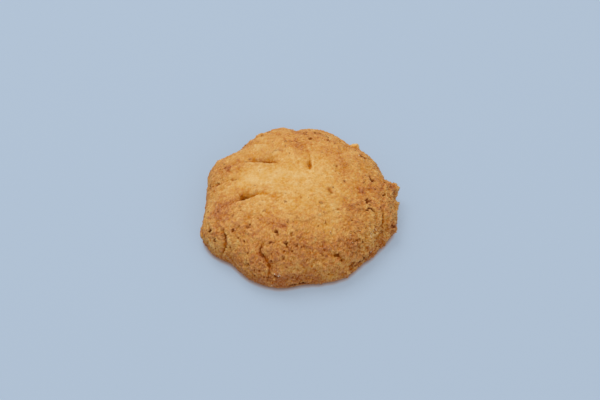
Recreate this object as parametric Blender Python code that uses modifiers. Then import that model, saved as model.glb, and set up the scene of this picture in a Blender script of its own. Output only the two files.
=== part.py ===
"""A piped shortbread biscuit, baked until its star swirl has nearly melted away.

One solid piece, in metres, +Z up. It stands on its flat underside, and the origin is
the middle of that underside. The crust is a turned dome. Its rim is then pushed out
to an uneven lobed outline, and the furrows between the piped ridges are pressed in.
Places on the crust are given as an angle round the crown, counter-clockwise from +X,
and a reach: the distance from the crown, measured along the crust.
"""

import math

import bpy
import numpy as np

MM = 0.001  # one millimetre

# Driving dimensions
HEIGHT = 15.0 * MM  # crown above the tray
MEAN_RADIUS = 28.3 * MM  # the blank's radius at its widest line
WAIST_HEIGHT = 3.4 * MM  # the widest line above the tray
TUCK = 1.8 * MM  # the underside's edge lies this far inside the widest line
SHOULDER_POWER = 2.3  # above 2, the dome stays wide further down
CROWN_POWER = 2.0  # 2 keeps the crown as round as an ellipse

# The lobes' outline at the widest line: angle in degrees, radius in millimetres
OUTLINE = (
    (0, 28.2),
    (12, 28.5),
    (24, 27.2),
    (38, 28.2),
    (55, 27.8),
    (72, 29.4),
    (84, 29.7),
    (92, 29.1),
    (101, 30.4),
    (114, 29.4),
    (133, 27.5),
    (150, 29.2),
    (165, 27.3),
    (180, 26.5),
    (195, 28.4),
    (208, 28.7),
    (224, 26.1),
    (240, 27.1),
    (258, 26.9),
    (275, 25.2),
    (300, 26.3),
    (313, 25.6),
    (330, 26.4),
    (348, 28.4),
)

# The furrows between the piped ridges: depth in millimetres, then the points of their
# middle line as (angle in degrees, reach in millimetres), from the crown outwards
FURROWS = {
    "upper left": (1.6, ((123, 9.5), (131, 13.4), (139, 16.8), (148, 21))),
    "left crease": (0.4, ((166, 17), (168, 24), (169, 30))),
    "lower left": (1.6, ((208, 7.5), (193, 10.5), (191, 14.8), (192, 18), (194, 21))),
    "left corner": (0.6, ((209, 24), (215, 27), (218, 31))),
    "front left": (0.9, ((241, 21), (243, 24.9), (250, 27), (252, 31))),
    "front": (0.4, ((268, 24), (273, 28), (275, 33))),
    "front right": (0.5, ((284, 22), (297, 27), (306, 32))),
    "right fold": (0.5, ((345, 22.6), (338, 25.8), (332, 27.6))),
    "right rim": (0.5, ((24, 21), (15, 26), (10, 31))),
    "upper right": (0.9, ((58, 6.2), (69, 8.9), (72, 10.3), (80, 14))),
    "back": (0.6, ((86, 22), (92, 33))),
    "back right": (0.6, ((44, 14), (52, 24), (55, 33))),
    "back left": (0.6, ((104, 14), (122, 24), (133, 33))),
}
STEEP_SIDE = 1.1 * MM  # half width of a furrow's steep wall, its clockwise side
GENTLE_SIDE = 2.6 * MM  # half width of its gentle wall
RIDGE_OFFSET = 2.6 * MM  # from a furrow's middle line to the crest of the ridge above
RIDGE_WIDTH = 1.8 * MM  # half width of that crest
RIDGE_SHARE = 0.45  # height of that crest, as a share of the furrow's depth
CURVE_SAMPLES = 40  # points along a furrow's smooth middle line

# The slow unevenness of the dome: waves round the crown, height in millimetres
SWELLS = ((0.30, 2, 70), (0.22, 3, 20), (0.15, 5, 110))  # height, waves, angle of a crest

# Mesh of the turned blank
SECTORS = 100
DOME_RINGS = 33
TUCK_RINGS = 4

CRUST_COLOUR = (0.52, 0.27, 0.085, 1.0)  # golden brown, linear
CRUST_ROUGHNESS = 0.75


def clear_scene():
    """Remove the objects that a new file starts with."""
    for old in list(bpy.data.objects):
        bpy.data.objects.remove(old, do_unlink=True)


def baked_crust():
    """Dry baked dough: golden brown, without gloss."""
    material = bpy.data.materials.new("baked_crust")
    material.use_nodes = True
    shader = material.node_tree.nodes["Principled BSDF"]
    shader.inputs["Base Color"].default_value = CRUST_COLOUR
    shader.inputs["Roughness"].default_value = CRUST_ROUGHNESS
    shader.inputs["Metallic"].default_value = 0.0
    return material


def dome_profile():
    """Radius and height down the outer side, from the crown to the underside's edge."""
    turn = np.linspace(0.0, math.pi / 2, DOME_RINGS + 1)
    radius = MEAN_RADIUS * np.sin(turn) ** (2 / SHOULDER_POWER)
    rise = (HEIGHT - WAIST_HEIGHT) * np.cos(turn) ** (2 / CROWN_POWER)
    turn = np.linspace(0.0, math.pi / 2, TUCK_RINGS + 1)[1:]
    tuck_radius = MEAN_RADIUS - TUCK * (1 - np.cos(turn))
    tuck_height = WAIST_HEIGHT * (1 - np.sin(turn))
    return np.append(radius, tuck_radius), np.append(WAIST_HEIGHT + rise, tuck_height)


def turned_blank():
    """The plain round biscuit as a mesh: the profile turned about Z."""
    radii, heights = dome_profile()
    points = [(r, 0.0, z) for r, z in zip(radii, heights)] + [(0.0, 0.0, 0.0)]
    profile_mesh = bpy.data.meshes.new("biscuit_profile")
    profile_mesh.from_pydata(points, [(i, i + 1) for i in range(len(points) - 1)], [])
    profile = bpy.data.objects.new("biscuit_profile", profile_mesh)
    bpy.context.scene.collection.objects.link(profile)
    screw = profile.modifiers.new("turn", "SCREW")
    screw.axis = "Z"
    screw.angle = math.tau
    screw.steps = SECTORS
    screw.render_steps = SECTORS
    screw.use_merge_vertices = True
    screw.merge_threshold = 0.00001
    evaluated = profile.evaluated_get(bpy.context.evaluated_depsgraph_get())
    blank = bpy.data.meshes.new_from_object(evaluated)
    bpy.data.objects.remove(profile, do_unlink=True)
    return blank


def outline_radius(angle):
    """The outline's radius at an angle in degrees, on a smooth closed curve."""
    at, radius = np.array(OUTLINE).T
    slope = (np.roll(radius, -1) - np.roll(radius, 1)) / (
        (np.roll(at, -1) - np.roll(at, 1)) % 360
    )
    angle = angle % 360
    here = np.searchsorted(at, angle, side="right") - 1
    after = (here + 1) % len(at)
    span = (at[after] - at[here]) % 360
    t = (angle - at[here]) / span
    blend = t * t * (3 - 2 * t)
    leave = t * (1 - t) ** 2 * span * slope[here]
    arrive = t * t * (t - 1) * span * slope[after]
    return MM * (radius[here] + blend * (radius[after] - radius[here]) + leave + arrive)


def unrolled(angle, reach):
    """A place on the crust as a point of the crust laid out flat, one row each."""
    turn = np.radians(angle)
    return np.stack([reach * np.cos(turn), reach * np.sin(turn)], axis=-1)


def smooth_line(places):
    """Points along a smooth curve through (angle, reach) places on the flat crust."""
    angle, reach = np.array(places, float).T
    knots = unrolled(angle, reach * MM)
    knots = np.vstack([2 * knots[0] - knots[1], knots, 2 * knots[-1] - knots[-2]])
    along = np.linspace(0, len(places) - 1, CURVE_SAMPLES)
    start = np.minimum(along.astype(int), len(places) - 2)
    t = (along - start)[:, None]
    a, b, c, d = (knots[start + i] for i in range(4))
    bend = (c - a) * t + (2 * a - 5 * b + 4 * c - d) * t**2 + (3 * b - 3 * c + d - a) * t**3
    return b + bend / 2


def furrow_relief(flat, depth, places):
    """How far one furrow moves the crust: down along its line, up at the ridge above."""
    line = smooth_line(places)
    away = flat[:, None, :] - line[None, :, :]
    nearest = np.argmin((away**2).sum(axis=2), axis=1)
    away = away[np.arange(len(flat)), nearest]
    heading = np.gradient(line, axis=0)[nearest]
    heading /= np.linalg.norm(heading, axis=1)[:, None]
    side = heading[:, 0] * away[:, 1] - heading[:, 1] * away[:, 0]
    beyond = (heading * away).sum(axis=1)
    wall = np.where(side > 0, GENTLE_SIDE, STEEP_SIDE)
    trough = np.exp(-((side / wall) ** 2))
    crest = RIDGE_SHARE * np.exp(-(((side + RIDGE_OFFSET) / RIDGE_WIDTH) ** 2))
    strength = np.sin(math.pi * (nearest + 0.5) / CURVE_SAMPLES) ** 0.5
    ends = np.exp(-((beyond / GENTLE_SIDE) ** 2))
    return depth * MM * strength * ends * (crest - trough)


def swell(angle, share):
    """The slow rise and fall of the dome round the crown, strongest half way down."""
    total = sum(
        height * MM * np.cos(np.radians(waves * (angle - crest)))
        for height, waves, crest in SWELLS
    )
    return total * np.sin(math.pi * share) ** 2


def shape_crust(mesh):
    """Push the blank's rim out to the lobed outline and press in the furrows."""
    places = np.empty(len(mesh.vertices) * 3, np.float32)
    mesh.vertices.foreach_get("co", places)
    places = places.reshape(-1, 3).astype(float)
    radius = np.hypot(places[:, 0], places[:, 1])
    angle = np.degrees(np.arctan2(places[:, 1], places[:, 0]))

    radii, heights = dome_profile()
    steps = np.hypot(np.diff(radii), np.diff(heights))
    reaches = np.append(0.0, np.cumsum(steps))
    waist = DOME_RINGS
    reach = np.where(
        places[:, 2] < WAIST_HEIGHT,
        np.interp(-places[:, 2], -heights[waist:], reaches[waist:]),
        np.interp(radius, radii[: waist + 1], reaches[: waist + 1]),
    )

    flat = unrolled(angle, reach)
    relief = sum(furrow_relief(flat, *furrow) for furrow in FURROWS.values())
    relief += swell(angle, np.minimum(reach / reaches[waist], 1.0))
    low = np.clip(places[:, 2] / WAIST_HEIGHT, 0.0, 1.0)
    relief *= low * low * (3 - 2 * low)

    # The relief acts square to the crust: upwards on top, outwards at the rim
    slope_r = np.interp(reach, reaches, np.gradient(radii, reaches))
    slope_z = np.interp(reach, reaches, np.gradient(heights, reaches))
    length = np.hypot(slope_r, slope_z)
    outward = -slope_z / length * relief
    upward = slope_r / length * relief

    stretch = outline_radius(angle) / MEAN_RADIUS
    at_radius = radius * stretch + outward
    turn = np.radians(angle)
    places[:, 0] = at_radius * np.cos(turn)
    places[:, 1] = at_radius * np.sin(turn)
    places[:, 2] = np.where(places[:, 2] > 0, places[:, 2] + upward, 0.0)
    mesh.vertices.foreach_set("co", places.astype(np.float32).ravel())
    mesh.update()


def centre_on_origin(mesh):
    """Slide the mesh so that its box is centred over the origin, and rest it on Z = 0."""
    places = np.empty(len(mesh.vertices) * 3, np.float32)
    mesh.vertices.foreach_get("co", places)
    places = places.reshape(-1, 3)
    middle = (places.min(axis=0) + places.max(axis=0)) / 2
    places[:, :2] -= middle[:2]
    mesh.vertices.foreach_set("co", places.ravel())
    mesh.update()


def build_biscuit(collection):
    """The whole biscuit, one closed solid."""
    mesh = turned_blank()
    mesh.name = "biscuit"
    shape_crust(mesh)
    centre_on_origin(mesh)
    mesh.materials.append(baked_crust())
    mesh.shade_smooth()
    collection.objects.link(bpy.data.objects.new("biscuit", mesh))


def main():
    clear_scene()
    collection = bpy.data.collections.new("shortbread_biscuit")
    bpy.context.scene.collection.children.link(collection)
    build_biscuit(collection)


main()
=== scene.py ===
"""A piped shortbread biscuit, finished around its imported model, on a pale floor.

The file is laid out as a Blender add-on and is run as a script. Lengths are metres,
+Z is up. The crust is thought of as dough laid out flat: a place on it is an angle
round the crown, counter-clockwise from +X, and a reach, the distance from the crown
measured along the crust. Furrows, cracks, pits and browned patches are all named by
such places, in degrees and millimetres.
"""

import math
from functools import partial

import bpy
import numpy as np
from bpy.props import FloatProperty, FloatVectorProperty, PointerProperty
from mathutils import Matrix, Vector, noise


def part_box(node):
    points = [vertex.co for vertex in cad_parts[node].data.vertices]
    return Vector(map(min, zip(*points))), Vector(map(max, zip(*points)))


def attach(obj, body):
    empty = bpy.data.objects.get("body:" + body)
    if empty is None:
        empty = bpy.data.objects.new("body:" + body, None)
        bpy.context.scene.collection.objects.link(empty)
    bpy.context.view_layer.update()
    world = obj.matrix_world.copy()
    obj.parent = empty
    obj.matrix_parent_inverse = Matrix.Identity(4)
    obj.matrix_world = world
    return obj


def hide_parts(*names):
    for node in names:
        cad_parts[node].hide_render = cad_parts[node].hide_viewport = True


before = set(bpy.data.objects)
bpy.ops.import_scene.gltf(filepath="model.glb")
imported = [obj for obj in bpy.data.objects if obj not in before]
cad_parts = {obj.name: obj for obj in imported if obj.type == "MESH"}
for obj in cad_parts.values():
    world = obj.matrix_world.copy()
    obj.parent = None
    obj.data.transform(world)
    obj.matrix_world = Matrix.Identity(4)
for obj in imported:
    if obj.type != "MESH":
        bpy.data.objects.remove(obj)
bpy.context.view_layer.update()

bl_info = {
    "name": "Shortbread Biscuit",
    "version": (1, 0, 0),
    "blender": (4, 5, 0),
    "location": "3D View > Sidebar > Biscuit",
    "description": "Builds a piped shortbread biscuit, its crumbs and sugar, and a plain stage",
    "category": "Add Mesh",
}

MM = 0.001  # one millimetre
NODE = "biscuit"  # the CAD node that the crust stands for
BODY = "root"
BOX_LOW, BOX_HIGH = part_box(NODE)

# The lobes' outline at the widest line: angle, radius
OUTLINE = (
    (0, 28.2), (12, 28.5), (24, 27.2), (38, 28.2), (55, 27.8), (72, 29.4),
    (84, 29.7), (92, 29.1), (101, 30.4), (114, 29.4), (133, 27.5), (150, 29.2),
    (165, 27.3), (180, 26.5), (195, 28.4), (208, 28.7), (224, 26.1), (240, 27.1),
    (258, 26.9), (275, 25.2), (300, 26.3), (313, 25.6), (330, 26.4), (348, 28.4),
)
OUTLINE_MEAN = 28.3  # the turned blank's radius, which the outline stretches

# Furrows between the piped ridges. Each has the half width of its clockwise and of its
# counter-clockwise wall, then (angle, reach, depth) along its middle line
FURROWS = {
    "upper left": (
        (1.9, 0.8),
        (
            (122, 9.0, 0.0), (124, 10.7, 0.4), (128, 12.3, 0.9), (131, 13.4, 1.7), (135, 15.0, 2.0),
            (139, 16.8, 1.2), (144, 19.1, 0.5), (154, 23, 0.3), (160, 29, 0.2),
        ),
    ),
    "left crease": ((0.9, 0.9), ((165, 17, 0.0), (166, 21, 0.4), (168, 26, 0.5), (168, 32, 0.3))),
    "lower left": (
        (1.3, 0.7),
        (
            (236, 7.0, 0.1), (215, 7.3, 0.35), (200, 8.5, 0.4), (193, 10.5, 0.7),
            (191.5, 12.5, 1.2), (191.5, 14.8, 1.9), (191, 16.5, 2.1), (192, 17.8, 0.7),
            (195, 22, 0.1),
        ),
    ),
    "left corner": (
        (1.1, 0.3),
        (
            (209, 24, 0.0), (211, 25.3, 0.3), (215, 26.8, 0.6), (217, 28.6, 0.6), (218, 30.5, 0.5),
            (217, 34, 0.3),
        ),
    ),
    "front left": (
        (1.4, 0.9),
        ((241, 21, 0.0), (241, 22.3, 0.5), (242, 23.6, 0.9), (243, 24.9, 0.8), (245, 26, 0.2)),
    ),
    "front hollow": (
        (0.4, 1.8),
        ((243, 24.4, 0.1), (246, 25.7, 0.9), (250, 27, 1.0), (252, 28.6, 0.8), (252, 32, 0.4)),
    ),
    "front": ((0.9, 1.6), ((268, 24, 0.0), (273, 28, 0.3), (275, 33, 0.4))),
    "front right": ((1.2, 1.2), ((284, 21, 0.0), (293, 25, 0.35), (303, 30, 0.35), (306, 34, 0.3))),
    "right fold": ((0.5, 0.5), ((345, 22.6, 0.1), (343, 24, 0.4), (338, 25.8, 0.5), (332, 27.6, 0.4))),
    "right pleat": ((0.6, 0.5), ((352, 24.8, 0.1), (346, 26.0, 0.5), (341, 27.6, 0.5), (336, 29, 0.3))),
    "right rim": ((1.1, 1.1), ((24, 20, 0.0), (16, 25, 0.5), (10, 31, 0.5))),
    "right hollow": ((1.4, 1.4), ((350, 27, 0.0), (344, 28.4, 0.4), (338, 29.5, 0.7), (328, 31, 0.5))),
    "upper right": (
        (0.35, 1.2),
        ((58, 6.2, 0.0), (64, 7.7, 0.7), (69, 8.9, 1.1), (72, 10.3, 0.7), (80, 14, 0.3), (86, 19, 0.1)),
    ),
    "back": ((1.1, 1.1), ((86, 21, 0.0), (91, 26, 0.4), (92, 33, 0.5))),
    "back right": ((1.6, 1.6), ((44, 14, 0.0), (52, 24, 0.5), (55, 33, 0.4))),
    "back left": ((1.6, 1.6), ((104, 14, 0.0), (122, 24, 0.5), (133, 33, 0.4))),
}
LIP_SHARE = 0.12  # height of the lip beside a furrow's steeper wall, as a share of its depth
LIP_WIDTH = 0.6 * MM
FURROW_CUSP = 1.15  # 1 makes a sharp crease of a furrow, 2 a round one
FURROW_END = 0.75 * MM  # over which a furrow fades beyond its ends
FURROW_FULL = 2 * MM  # a furrow this deep counts as 1 for its looks

# Fine cracks: depth, half width, then (angle, reach) along the crack
CRACKS = (
    (0.25, 0.35, ((124, 10.8), (128, 12.4), (131, 13.5), (136, 15.0), (139, 16.6))),
    (0.60, 0.42, ((194, 14.0), (193, 15.7), (191.5, 17.2))),
    (0.50, 0.32, ((210, 25.1), (215, 26.7), (218, 28.5), (218, 30.3))),
    (0.22, 0.50, ((242, 22), (242, 23.3), (243, 24.9), (246, 25.7))),
    (0.15, 0.45, ((71, 9.3), (68, 8.2), (63, 7.6))),
    (1.00, 0.26, ((339.5, 21.0), (342, 21.4), (344.3, 21.7), (344.2, 22.5), (343.5, 23.5))),
    (0.25, 0.45, ((338, 18.2), (338, 19.2), (340, 20.2), (339, 20.9))),
    (0.28, 0.40, ((358, 8.7), (350, 8.8), (344, 9.6), (338, 9.4))),
    (0.35, 0.28, ((36, 12.6), (34, 13.4), (30, 13.2))),
    (0.55, 0.32, ((20, 22.5), (16, 21.9), (12.5, 21.5), (12.5, 22.2), (14, 23.0))),
    # The next crack runs along the front foot on the tray; its dark is painted shade under the edge
    (1.00, 0.50, ((263, 35.0), (266, 34.8), (270, 34.75), (274, 34.8), (277, 35.0))),
    (0.80, 0.35, ((323, 33.2), (319, 33.1), (315, 33.0), (311, 33.1), (307, 33.1))),
    (0.20, 0.25, ((344, 24.0), (341.5, 25.3), (338.5, 26.6), (335, 27.9))),
    (0.20, 0.25, ((348, 25.2), (343.5, 26.6), (339.5, 28.1), (336, 29.4))),
    (0.20, 0.35, ((252, 11.4), (265, 11.8), (276, 14.5), (298, 13.1), (328, 15.6))),
    (0.25, 0.30, ((120, 15.2), (114, 14.6), (109, 13.3))),
    (0.45, 0.30, ((247, 17.4), (250, 17.8), (252, 18.6))),
    (0.50, 0.30, ((258, 20.2), (260, 20.9), (263, 22))),
    (0.45, 0.30, ((259, 24.2), (260, 24.9), (260, 25.6))),
    (0.35, 0.30, ((320, 26.6), (316, 26.0), (312, 26.2))),
    (0.35, 0.30, ((296, 25.8), (298, 26.6), (300, 27.6))),
    (0.35, 0.30, ((286, 24.6), (288, 25.4), (291, 26.1))),
    (0.30, 0.35, ((166, 18.4), (167, 20.2), (165, 21.5))),
    (0.35, 0.28, ((77, 23.6), (74, 23.9), (70, 23.4))),
)

# The largest open pits: angle, reach, radius, depth
PITS = (
    (114, 26.2, 0.48, 0.52), (154, 22.3, 0.56, 0.3), (168, 25.8, 0.56, 0.45), (165, 24.2, 0.32, 0.3),
    (204, 28.3, 0.56, 0.85), (211, 29.3, 0.48, 0.45), (216, 23.5, 0.48, 0.6), (216, 21.7, 0.32, 0.38),
    (221, 28.9, 0.32, 0.38), (224, 20.7, 0.4, 0.22), (222, 8.9, 0.48, 0.2), (280, 5.3, 0.4, 0.22),
    (258, 3.5, 0.24, 0.15), (264, 17.9, 0.4, 0.38), (248, 21.2, 0.4, 0.45), (268, 21.7, 0.48, 0.45),
    (245, 25.6, 0.56, 0.4), (251, 27.6, 0.48, 0.38), (86, 22.9, 0.5, 0.75), (75, 24.4, 0.45, 0.6),
    (78, 24.1, 0.48, 0.7), (69, 23.4, 0.55, 0.75), (80, 19.5, 0.5, 0.5), (46, 25.1, 0.5, 0.5),
    (38.5, 24.0, 0.55, 0.75), (37, 24.5, 0.5, 0.7), (12, 21.7, 0.55, 0.7), (2, 25.8, 0.4, 0.68),
    (10, 30.2, 0.48, 0.52), (355, 28.7, 0.4, 0.52), (350, 20.0, 0.65, 0.75), (347, 21.0, 0.32, 0.45),
    (344.5, 31.2, 0.6, 0.7), (321, 32.7, 0.6, 0.6), (304, 22.6, 0.4, 0.38), (298, 26.2, 0.48, 0.38),
    (312, 26.2, 0.4, 0.38), (326, 21.4, 0.4, 0.22), (326, 14.7, 0.45, 0.2), (302, 15.8, 0.5, 0.35),
    (238, 29.4, 0.56, 0.38), (243, 30.3, 0.48, 0.3), (306, 30.9, 0.48, 0.45), (249, 17.8, 0.4, 0.35),
    (260, 20.6, 0.5, 0.45), (211, 29.5, 0.5, 0.45), (258, 30.5, 0.5, 0.4), (316, 28.8, 0.4, 0.4),
    (318, 26.4, 0.4, 0.2), (336, 29.7, 0.5, 0.35), (12, 22.4, 0.45, 0.5), (89, 25.2, 0.4, 0.45),
    (60, 25.5, 0.4, 0.4),
)

# Lumps of dough, and dips and notches in it: angle, reach, radius, height
LUMPS = (
    (51.7, 29.3, 1.25, 1.5), (53.8, 29.0, 0.6, 0.6), (13.5, 30.6, 1.5, 1.3), (12, 31.4, 1.0, 1.1),
    (6.5, 30.8, 1.1, -2.4), (2.5, 31.6, 1.1, 0.7), (352, 31.0, 1.2, -0.4), (344.5, 32.4, 1.0, 0.7),
    (341, 31.0, 1.0, -0.5), (331, 32.2, 1.2, -0.5), (302, 32.9, 0.9, 1.0), (298, 32.7, 0.8, -0.4),
    (306, 32.3, 1.2, -1.1), (271, 32.4, 1.6, -0.5), (115, 28.0, 1.3, 0.5), (148, 28.0, 1.4, 0.5),
    (198.5, 33.2, 1.1, 0.5), (190, 31.6, 1.8, -0.6), (207, 33.2, 1.8, -0.8), (200, 27.0, 1.8, 0.3),
    (212, 8.0, 1.7, -0.4), (272, 5.2, 1.4, -0.25), (350, 9.0, 1.5, -0.3), (326, 14.7, 1.0, -0.25),
)

# Browning down the side: reach, how brown
BROWNING = (
    (0, 0.05), (6, 0.08), (9, 0.18), (12, 0.27), (15, 0.34),
    (21, 0.43), (27, 0.47), (33, 0.54), (37, 1.0),
)
BROWNER_SIDE = 250  # the front left browns most
BROWNER_SHARE = 0.08
BROWNER_REACH = (6, 20)  # over which that sets in

# Patches: angle, reach, length, width, heading of the length, how much browner, or
# paler below 0
PATCHES = (
    (88, 14.8, 2.4, 1.8, 80, 0.48), (93, 17.8, 1.4, 0.9, 60, 0.30), (64, 22.0, 1.6, 1.1, 0, 0.40),
    (38, 24.3, 1.1, 0.8, 0, 0.45), (336, 17.5, 2.6, 2.6, 0, 0.30), (243, 24.6, 1.6, 1.0, 270, 0.25),
    (38, 16.0, 2.6, 1.8, 20, 0.30), (20, 13.5, 3.0, 2.4, 80, 0.19), (154, 22.8, 1.3, 1.1, 150, 0.48),
    (156, 24.5, 2.6, 1.5, 130, 0.12), (192, 21.5, 2.4, 1.3, 200, 0.38), (195, 24.6, 1.6, 1.3, 250, 0.42),
    (203, 26.0, 2.4, 1.6, 290, 0.06), (216, 23.5, 1.6, 1.2, 0, 0.30), (252, 15.7, 1.2, 0.9, 0, 0.60),
    (240, 15.0, 5.0, 1.8, 0, 0.25), (224, 20.7, 1.2, 0.9, 0, 0.25), (357, 18.2, 1.0, 0.9, 0, 0.60),
    (350, 20.6, 1.8, 1.3, 0, 0.45), (342, 17.0, 3.0, 1.8, 30, 0.20), (328, 20.8, 1.6, 1.1, 20, 0.20),
    (12, 29.6, 2.2, 1.4, 100, 0.45), (344.5, 31.0, 1.1, 1.0, 100, 0.75), (240, 29.0, 3.6, 2.4, 330, 0.26),
    (261, 31.3, 5.0, 2.0, 0, 0.32), (269, 21.7, 3.2, 2.4, 0, 0.38), (276, 25.5, 3.0, 2.0, 0, 0.12),
    (254, 26.0, 3.0, 2.5, 0, 0.20), (202, 21.5, 2.2, 1.6, 0, 0.12), (357, 17.0, 2.6, 2.6, 0, 0.12),
    (2, 22.5, 2.6, 2.6, 0, 0.16), (240, 6.0, 3.0, 2.4, 0, 0.08), (212, 8.0, 1.8, 1.5, 0, 0.14),
    (350, 9.0, 1.6, 1.4, 0, 0.12), (321, 32.5, 2.2, 1.0, 50, 0.50), (72, 30.0, 4.5, 1.4, 160, 0.25),
    (88, 30.5, 4.5, 1.4, 178, 0.30), (104, 31.0, 4.0, 1.4, 190, 0.25), (158, 10, 5.5, 2.6, 170, -0.38),
    (170, 17, 7.0, 3.6, 175, -0.30), (52, 29.2, 1.6, 1.5, 0, -0.80), (120, 22, 4.0, 3.0, 60, -0.20),
    (52, 17, 3.0, 2.5, 0, 0.14), (95, 22, 4.0, 5.0, 90, 0.15), (76, 19, 4.0, 3.0, 90, 0.15),
    (136, 22, 4.0, 3.0, 90, -0.10), (0, 12, 7.0, 5.0, 80, -0.04), (325, 20, 6.0, 4.0, 50, -0.02),
    (322, 14, 3.5, 2.5, 20, -0.20), (301, 18.5, 4.0, 2.6, 20, -0.18), (222, 26, 2.6, 2.0, 300, -0.15),
    (312, 26, 3.0, 2.4, 20, 0.32), (289, 22.5, 3.0, 2.4, 0, 0.26), (301, 24.5, 2.5, 2.2, 0, 0.20),
    (352, 26.4, 2.4, 2.4, 0, 0.28), (263, 13.0, 2.5, 2.0, 0, 0.04), (82, 23.5, 3.0, 2.0, 0, 0.10),
    (180, 22.5, 3.0, 2.0, 0, -0.15), (178, 15.5, 2.5, 2.0, 0, -0.06), (176, 29, 2.0, 2.0, 0, -0.12),
    (249, 32.5, 3.0, 1.6, 0, 0.24), (259, 31.2, 2.5, 1.4, 0, 0.28), (270, 32.0, 2.5, 1.6, 0, 0.26),
    (254, 20.8, 2.2, 2.0, 0, 0.14), (285, 21.7, 2.2, 2.0, 0, 0.22), (311, 24, 2.4, 2.2, 0, 0.10),
    (324, 29.2, 2.4, 2.2, 0, -0.18), (5, 21.0, 2.6, 2.4, 0, 0.18), (186, 29, 3.0, 2.5, 0, -0.22),
    (217, 13.5, 2.5, 2.0, 0, -0.10), (250, 15, 2.4, 2.0, 0, 0.10), (270, 14.5, 2.4, 2.0, 0, -0.08),
    (214, 30.5, 3.0, 2.5, 0, -0.10), (208, 32.0, 2.4, 2.0, 0, -0.35), (290, 33.5, 4.0, 2.0, 0, -0.40),
    (246, 27, 2.4, 2.0, 0, 0.10), (128, 17, 4.0, 3.0, 0, -0.08), (276, 31.5, 5.0, 1.8, 0, 0.18),
    (343, 26.5, 3.0, 2.5, 60, -0.06), (344, 22.5, 1.6, 2.0, 60, -0.08),
)

# Sugar shows here: angle, reach, radius, share of the most
SUGARY = (
    (257, 29.5, 1.2, 0.7), (328, 26.6, 1.1, 1.0), (332, 27.6, 0.9, 0.9), (314, 24.2, 1.4, 0.4),
    (322, 31.0, 1.2, 0.4), (268, 24.5, 3.0, 0.045), (0, 27.0, 4.0, 0.03),
)
SUGAR_ELSEWHERE = 0.002

OPENING_DEPTH = 0.7  # in millimetres, of a crack or pit whose depth is 1
PIT_EDGE = 3.0  # 2 gives a pit soft edges, more makes them sharper
# How far the colour is darkened inside cracks, pits and furrows, where their depth is 1: painted shade,
# and in cracks and pits also their darker baked inside
HOLLOW_CRACK, HOLLOW_PIT, FURROW_SHADE_DARK = 1.7, 1.4, 0.3
# How coarse the crumb is anywhere, and how much more where it is browned and torn
COARSE_ANYWHERE, COARSE_BROWNED, COARSE_TORN = 0.32, 0.95, 0.5

# The rim was torn on this side where the piping stopped, over these reaches
TORN_SIDE = -18
TORN_REACH = (23, 28)
TORN_LUMPS = (0.7, 0.15)  # height of the torn rim's broad and fine lumps
FOOT_SHADE_REACH = (30.5, 34.5)  # over these the foot gets the painted shade of a furrow's inside
FOOT_SHADE_SHARE = 0.6  # by this share
TUCK_SHADE_REACH = 35.4  # painted shade: the crust's edge on the tray, under the tuck, is darkened from here on
FREE_FROM = 1.8  # the relief is full above the waist's height divided by this
SWELLS = ((0.30, 2, 70), (0.22, 3, 20), (0.15, 5, 110))  # height, waves round, crest's angle

# Noise that makes furrows, cracks, pits, lumps and patches ragged: where it starts, its widths
RAGGED_SEED = 1
BROAD = 2.1 * MM
FINE = 0.8 * MM
GRIT = 0.45 * MM
# How far the broad and the fine noise move things, in millimetres
RAGGED_FURROWS = (0.3, 0.15)
RAGGED_CRACKS = (0.15, 0.4)
RAGGED_LUMPS = (0.4, 0.5)
RAGGED_PATCHES = (0.6, 0.5)  # for each millimetre of a patch's width
RAGGED_PITS = (1.1, 1.0)  # the fine noise and the grit, for each of a pit's radius

# Sizes of the crumb relief, each a property of the biscuit's shape and an input of its tree
RELIEF_SIZES = (
    "Lump Height", "Rough Height", "Crumb Size", "Crumb Height",
    "Grain Size", "Grain Height", "Pore Spacing", "Pore Depth",
)
FACET_SHARE = 2.2  # how much the crumbs differ in height, against their crown
GAP_BLUR = 6  # smoothing steps that find the gaps between crumbs
DIP_BLUR = 60  # and the furrows between ridges
CRUMB_SEED = 7
SUGAR_SEED = 21

# Crumbs and grains that differ: from which random tint on, up to which, how much browner
ODD_GRAINS = (
    ("crumb", 0.62, 0.74, 0.22),
    ("grain", 0.60, 0.72, 0.28),
    ("grain", 0.42, 0.30, -0.25),
)
# Painted shade: furrows and gaps are moved towards brown
FURROW_SHADE_BROWN = 0.15
GAP_SHADE_BROWN = 0.9  # painted shade: how much browner a gap a millimetre deep is made
# Browner blotches: width in millimetres, how much
BLOTCHES = ((5.0, 0.7), (1.8, 0.5), (0.7, 0.35), (0.32, 0.8))
# Share of a golden tint multiplied into the crust's colour, as light that has been through dough looks:
# on its open, even parts
OPEN_CREASE = 0.35
SPECK_CREASE = 1.5  # how much it varies between grains
PATCH_CREASE = 1.0  # and between patches
GAP_SHADE_TINT = 2.4  # painted shade: how much more in a gap a millimetre deep
DIP_SHADE_TINT = 0.6  # painted shade: in a dip a millimetre deep
FURROW_SHADE_TINT = 0.6  # painted shade: and in a furrow
# Painted shade: how far the small pores are darkened towards the dark colour
PORE_SHADE_DARK = 0.48
GRAIN_BUMP = 0.18 * MM  # height of the finest grain, which is only shaded
CONTACT_SHADE = 1.2 * MM  # width of the floor's painted contact shadow at the biscuit
GLOW_LEFT = 0.47  # share of the floor's brightness that is reflected, the rest glows

CURVE_SAMPLES = 48  # points along a smooth line on the crust
GRID = 300  # quads across the crust's square grid
UNDERSIDE_RINGS = (0.96, 0.7, 0.35)  # rings of the flat underside, as shares
UNDERSIDE_BROWN = 0.9  # how brown it is
DOME_FULLNESS = 2.3  # 2 makes the dome's section an ellipse, more makes it squarer

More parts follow.
